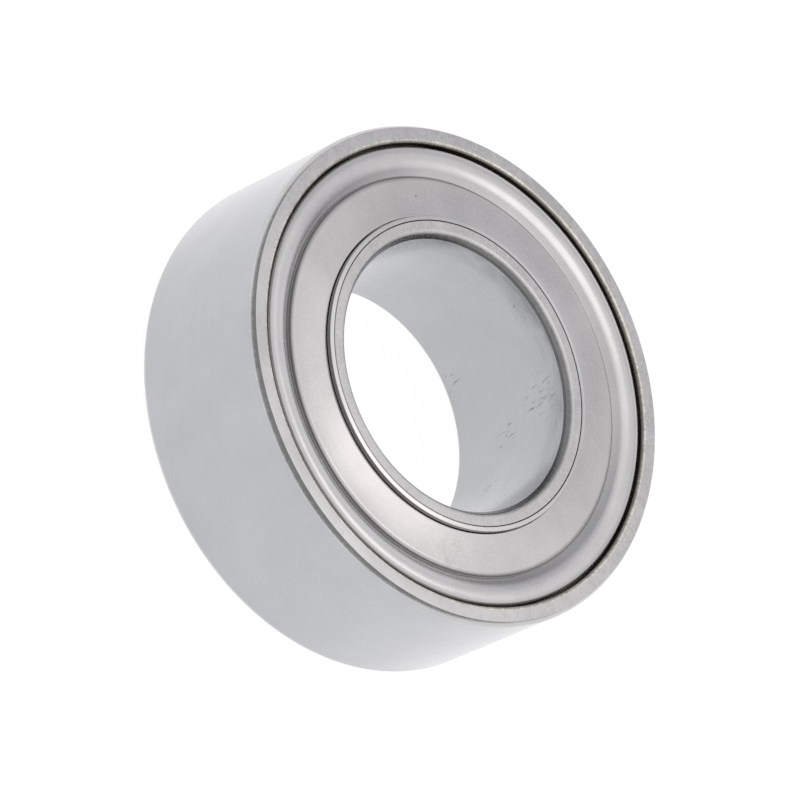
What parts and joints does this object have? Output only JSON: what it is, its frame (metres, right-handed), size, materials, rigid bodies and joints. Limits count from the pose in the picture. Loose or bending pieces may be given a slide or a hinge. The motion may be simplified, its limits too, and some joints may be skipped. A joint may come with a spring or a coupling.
{
  "type": "shielded ball bearing",
  "caption": "Wide deep-groove ball bearing with plain steel rings and a stamped metal shield over each side; the inner ring, cage and balls turn inside the outer ring.",
  "frame": {"origin": "middle of the bearing, on its axis and halfway between the faces", "axes": "+Z along the bearing's axis towards the pictured face; X and Y across it"},
  "size_m": [0.055, 0.055, 0.019],
  "materials": {
    "ring_steel": "fine ground bearing steel, light oil film, soft scuffs in the bore",
    "shield_steel": "stamped and tumbled sheet steel, satin",
    "ball_steel": "lapped to a mirror",
    "cage_steel": "stamped sheet steel, oiled",
    "rivet_steel": "drawn wire with upset heads"
  },
  "bodies": {
    "outer": {"outer_ring": "ring_steel", "front_shield": "shield_steel", "rear_shield": "shield_steel"},
    "inner": {"inner_ring": "ring_steel"},
    "cage": {"front_cage": "cage_steel", "rear_cage": "cage_steel", "cage_rivet_1": "rivet_steel", "cage_rivet_2": "rivet_steel", "cage_rivet_3": "rivet_steel", "cage_rivet_4": "rivet_steel", "cage_rivet_5": "rivet_steel", "cage_rivet_6": "rivet_steel", "cage_rivet_7": "rivet_steel", "cage_rivet_8": "rivet_steel", "cage_rivet_9": "rivet_steel", "cage_rivet_10": "rivet_steel", "cage_rivet_11": "rivet_steel"},
    "ball_1": {"ball_1": "ball_steel"},
    "ball_2": {"ball_2": "ball_steel"},
    "ball_3": {"ball_3": "ball_steel"},
    "ball_4": {"ball_4": "ball_steel"},
    "ball_5": {"ball_5": "ball_steel"},
    "ball_6": {"ball_6": "ball_steel"},
    "ball_7": {"ball_7": "ball_steel"},
    "ball_8": {"ball_8": "ball_steel"},
    "ball_9": {"ball_9": "ball_steel"},
    "ball_10": {"ball_10": "ball_steel"},
    "ball_11": {"ball_11": "ball_steel"}
  },
  "joints": [
    {"name": "inner_ring_spin", "type": "hinge", "parent": "outer", "child": "inner", "pos_m": [0, 0, 0], "axis": [0, 0, 1], "continuous": true},
    {"name": "cage_orbit", "type": "hinge", "parent": "outer", "child": "cage", "pos_m": [0, 0, 0], "axis": [0, 0, 1], "continuous": true},
    {"name": "ball_1_roll", "type": "hinge", "parent": "cage", "child": "ball_1", "pos_m": [0.02039, 0.00599, 0], "axis": [0, 0, 1], "continuous": true},
    {"name": "ball_2_roll", "type": "hinge", "parent": "cage", "child": "ball_2", "pos_m": [0.01392, 0.01606, 0], "axis": [0, 0, 1], "continuous": true},
    {"name": "ball_3_roll", "type": "hinge", "parent": "cage", "child": "ball_3", "pos_m": [0.00302, 0.02103, 0], "axis": [0, 0, 1], "continuous": true},
    {"name": "ball_4_roll", "type": "hinge", "parent": "cage", "child": "ball_4", "pos_m": [-0.00883, 0.01933, 0], "axis": [0, 0, 1], "continuous": true},
    {"name": "ball_5_roll", "type": "hinge", "parent": "cage", "child": "ball_5", "pos_m": [-0.01788, 0.01149, 0], "axis": [0, 0, 1], "continuous": true},
    {"name": "ball_6_roll", "type": "hinge", "parent": "cage", "child": "ball_6", "pos_m": [-0.02125, 0, 0], "axis": [0, 0, 1], "continuous": true},
    {"name": "ball_7_roll", "type": "hinge", "parent": "cage", "child": "ball_7", "pos_m": [-0.01788, -0.01149, 0], "axis": [0, 0, 1], "continuous": true},
    {"name": "ball_8_roll", "type": "hinge", "parent": "cage", "child": "ball_8", "pos_m": [-0.00883, -0.01933, 0], "axis": [0, 0, 1], "continuous": true},
    {"name": "ball_9_roll", "type": "hinge", "parent": "cage", "child": "ball_9", "pos_m": [0.00302, -0.02103, 0], "axis": [0, 0, 1], "continuous": true},
    {"name": "ball_10_roll", "type": "hinge", "parent": "cage", "child": "ball_10", "pos_m": [0.01392, -0.01606, 0], "axis": [0, 0, 1], "continuous": true},
    {"name": "ball_11_roll", "type": "hinge", "parent": "cage", "child": "ball_11", "pos_m": [0.02039, -0.00599, 0], "axis": [0, 0, 1], "continuous": true}
  ],
  "couplings": [
    {"joint": "cage_orbit", "follows": "inner_ring_spin", "ratio": 0.41595},
    {"joint": "ball_1_roll", "follows": "inner_ring_spin", "ratio": -2.8905},
    {"joint": "ball_2_roll", "follows": "inner_ring_spin", "ratio": -2.8905},
    {"joint": "ball_3_roll", "follows": "inner_ring_spin", "ratio": -2.8905},
    {"joint": "ball_4_roll", "follows": "inner_ring_spin", "ratio": -2.8905},
    {"joint": "ball_5_roll", "follows": "inner_ring_spin", "ratio": -2.8905},
    {"joint": "ball_6_roll", "follows": "inner_ring_spin", "ratio": -2.8905},
    {"joint": "ball_7_roll", "follows": "inner_ring_spin", "ratio": -2.8905},
    {"joint": "ball_8_roll", "follows": "inner_ring_spin", "ratio": -2.8905},
    {"joint": "ball_9_roll", "follows": "inner_ring_spin", "ratio": -2.8905},
    {"joint": "ball_10_roll", "follows": "inner_ring_spin", "ratio": -2.8905},
    {"joint": "ball_11_roll", "follows": "inner_ring_spin", "ratio": -2.8905}
  ]
}
